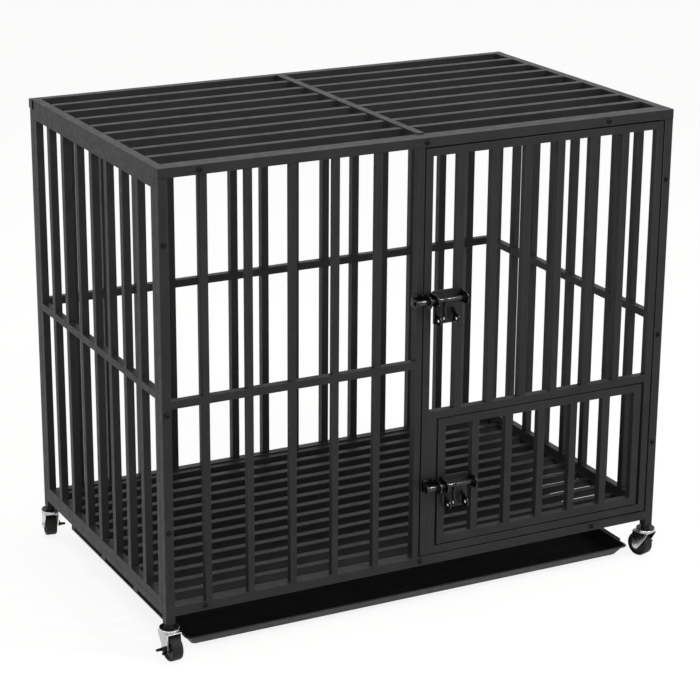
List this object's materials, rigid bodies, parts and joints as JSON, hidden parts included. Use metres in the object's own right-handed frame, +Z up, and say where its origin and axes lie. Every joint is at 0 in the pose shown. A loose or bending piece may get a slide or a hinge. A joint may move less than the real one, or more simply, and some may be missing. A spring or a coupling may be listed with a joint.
{
  "type": "dog crate",
  "caption": "Welded square-tube dog crate on swivel casters, with a hinged main door, a feeding door in it, slide bolts and a pull-out tray.",
  "frame": {"origin": "on the floor, under the middle of the whole crate with its latches and casters", "axes": "+X along the crate's length from the fixed section to the door hinge, +Y from the front to the back, +Z up"},
  "size_m": [1.1136, 0.708, 0.931],
  "materials": {
    "powder_coat": "satin black powder coat",
    "black_enamel": "semi-gloss black",
    "black_zinc": "black zinc plate",
    "black_plastic": "fine matte",
    "chrome": "bright plated",
    "wheel": "matte grey"
  },
  "bodies": {
    "cage": {"front_panel": "powder_coat", "rear_panel": "powder_coat", "left_panel": "powder_coat", "right_panel": "powder_coat", "top_panel": "powder_coat", "floor_panel": "powder_coat", "plug_left": "black_plastic", "plug_right": "black_plastic", "screw_top_1": "black_zinc", "screw_top_2": "black_zinc", "screw_top_3": "black_zinc", "screw_bottom_1": "black_zinc", "screw_bottom_2": "black_zinc", "screw_bottom_3": "black_zinc", "screw_left_1": "black_zinc", "screw_left_2": "black_zinc", "screw_left_3": "black_zinc", "screw_right_1": "black_zinc", "screw_right_2": "black_zinc", "screw_right_3": "black_zinc", "main_door_pin_lower": "black_zinc", "main_door_pin_upper": "black_zinc", "main_latch_keeper": "black_enamel", "runner_left": "powder_coat", "runner_right": "powder_coat", "caster_1_mount": "black_plastic", "caster_2_mount": "black_plastic", "caster_3_mount": "black_plastic", "caster_4_mount": "black_plastic"},
    "main_door": {"main_door": "powder_coat", "main_latch_bracket": "black_enamel", "feeding_latch_keeper": "black_enamel", "feeding_door_pin_lower": "black_zinc", "feeding_door_pin_upper": "black_zinc"},
    "feeding_door": {"feeding_door": "powder_coat", "feeding_latch_bracket": "black_enamel"},
    "main_bolt": {"main_latch_rod": "black_zinc"},
    "main_flag": {"main_latch_flag": "black_enamel"},
    "feeding_bolt": {"feeding_latch_rod": "black_zinc"},
    "feeding_flag": {"feeding_latch_flag": "black_enamel"},
    "tray": {"tray": "powder_coat"},
    "caster_1": {"caster_1_fork": "chrome", "caster_1_axle": "chrome"},
    "caster_1_wheel": {"caster_1_wheel": "wheel"},
    "caster_1_brake": {"caster_1_brake": "black_plastic"},
    "caster_2": {"caster_2_fork": "chrome", "caster_2_axle": "chrome"},
    "caster_2_wheel": {"caster_2_wheel": "wheel"},
    "caster_2_brake": {"caster_2_brake": "black_plastic"},
    "caster_3": {"caster_3_fork": "chrome", "caster_3_axle": "chrome"},
    "caster_3_wheel": {"caster_3_wheel": "wheel"},
    "caster_3_brake": {"caster_3_brake": "black_plastic"},
    "caster_4": {"caster_4_fork": "chrome", "caster_4_axle": "chrome"},
    "caster_4_wheel": {"caster_4_wheel": "wheel"},
    "caster_4_brake": {"caster_4_brake": "black_plastic"}
  },
  "joints": [
    {"name": "main_door_hinge", "type": "hinge", "parent": "cage", "child": "main_door", "pos_m": [0.509, -0.31401, 0.5065], "axis": [0, 0, 1], "range_deg": [0, 110]},
    {"name": "feeding_door_hinge", "type": "hinge", "parent": "main_door", "child": "feeding_door", "pos_m": [0.4875, -0.31401, 0.25], "axis": [0, 0, 1], "range_deg": [0, 90]},
    {"name": "main_bolt_slide", "type": "slide", "parent": "main_door", "child": "main_bolt", "axis": [1, 0, 0], "range_m": [0, 0.022]},
    {"name": "main_flag_lift", "type": "hinge", "parent": "main_bolt", "child": "main_flag", "pos_m": [0.006, -0.33901, 0.623], "axis": [-1, 0, 0], "range_deg": [0, 90]},
    {"name": "feeding_bolt_slide", "type": "slide", "parent": "feeding_door", "child": "feeding_bolt", "axis": [1, 0, 0], "range_m": [0, 0.022]},
    {"name": "feeding_flag_lift", "type": "hinge", "parent": "feeding_bolt", "child": "feeding_flag", "pos_m": [0.0347, -0.33901, 0.25], "axis": [-1, 0, 0], "range_deg": [0, 90]},
    {"name": "tray_slide", "type": "slide", "parent": "cage", "child": "tray", "axis": [0, -1, 0], "range_m": [0, 0.5]},
    {"name": "caster_1_swivel", "type": "hinge", "parent": "cage", "child": "caster_1", "pos_m": [-0.526, -0.31001, 0.058], "axis": [0, 0, 1], "continuous": true},
    {"name": "caster_1_spin", "type": "hinge", "parent": "caster_1", "child": "caster_1_wheel", "pos_m": [-0.52495, -0.32196, 0.024], "axis": [0.9962, 0.0872, 0], "continuous": true},
    {"name": "caster_1_brake", "type": "hinge", "parent": "caster_1", "child": "caster_1_brake", "pos_m": [-0.52495, -0.32196, 0.024], "axis": [-0.9962, -0.0872, 0], "range_deg": [0, 25]},
    {"name": "caster_2_swivel", "type": "hinge", "parent": "cage", "child": "caster_2", "pos_m": [0.526, -0.31001, 0.058], "axis": [0, 0, 1], "continuous": true},
    {"name": "caster_2_spin", "type": "hinge", "parent": "caster_2", "child": "caster_2_wheel", "pos_m": [0.52289, -0.29842, 0.024], "axis": [-0.9659, -0.2588, 0], "continuous": true},
    {"name": "caster_2_brake", "type": "hinge", "parent": "caster_2", "child": "caster_2_brake", "pos_m": [0.52289, -0.29842, 0.024], "axis": [0.9659, 0.2588, 0], "range_deg": [0, 25]},
    {"name": "caster_3_swivel", "type": "hinge", "parent": "cage", "child": "caster_3", "pos_m": [-0.526, 0.31699, 0.058], "axis": [0, 0, 1], "continuous": true},
    {"name": "caster_3_spin", "type": "hinge", "parent": "caster_3", "child": "caster_3_wheel", "pos_m": [-0.52392, 0.32881, 0.024], "axis": [-0.9848, 0.1736, 0], "continuous": true},
    {"name": "caster_3_brake", "type": "hinge", "parent": "caster_3", "child": "caster_3_brake", "pos_m": [-0.52392, 0.32881, 0.024], "axis": [0.9848, -0.1736, 0], "range_deg": [0, 25]},
    {"name": "caster_4_swivel", "type": "hinge", "parent": "cage", "child": "caster_4", "pos_m": [0.526, 0.31699, 0.058], "axis": [0, 0, 1], "continuous": true},
    {"name": "caster_4_spin", "type": "hinge", "parent": "caster_4", "child": "caster_4_wheel", "pos_m": [0.526, 0.32899, 0.024], "axis": [-1, 0, 0], "continuous": true},
    {"name": "caster_4_brake", "type": "hinge", "parent": "caster_4", "child": "caster_4_brake", "pos_m": [0.526, 0.32899, 0.024], "axis": [1, 0, 0], "range_deg": [0, 25]}
  ]
}
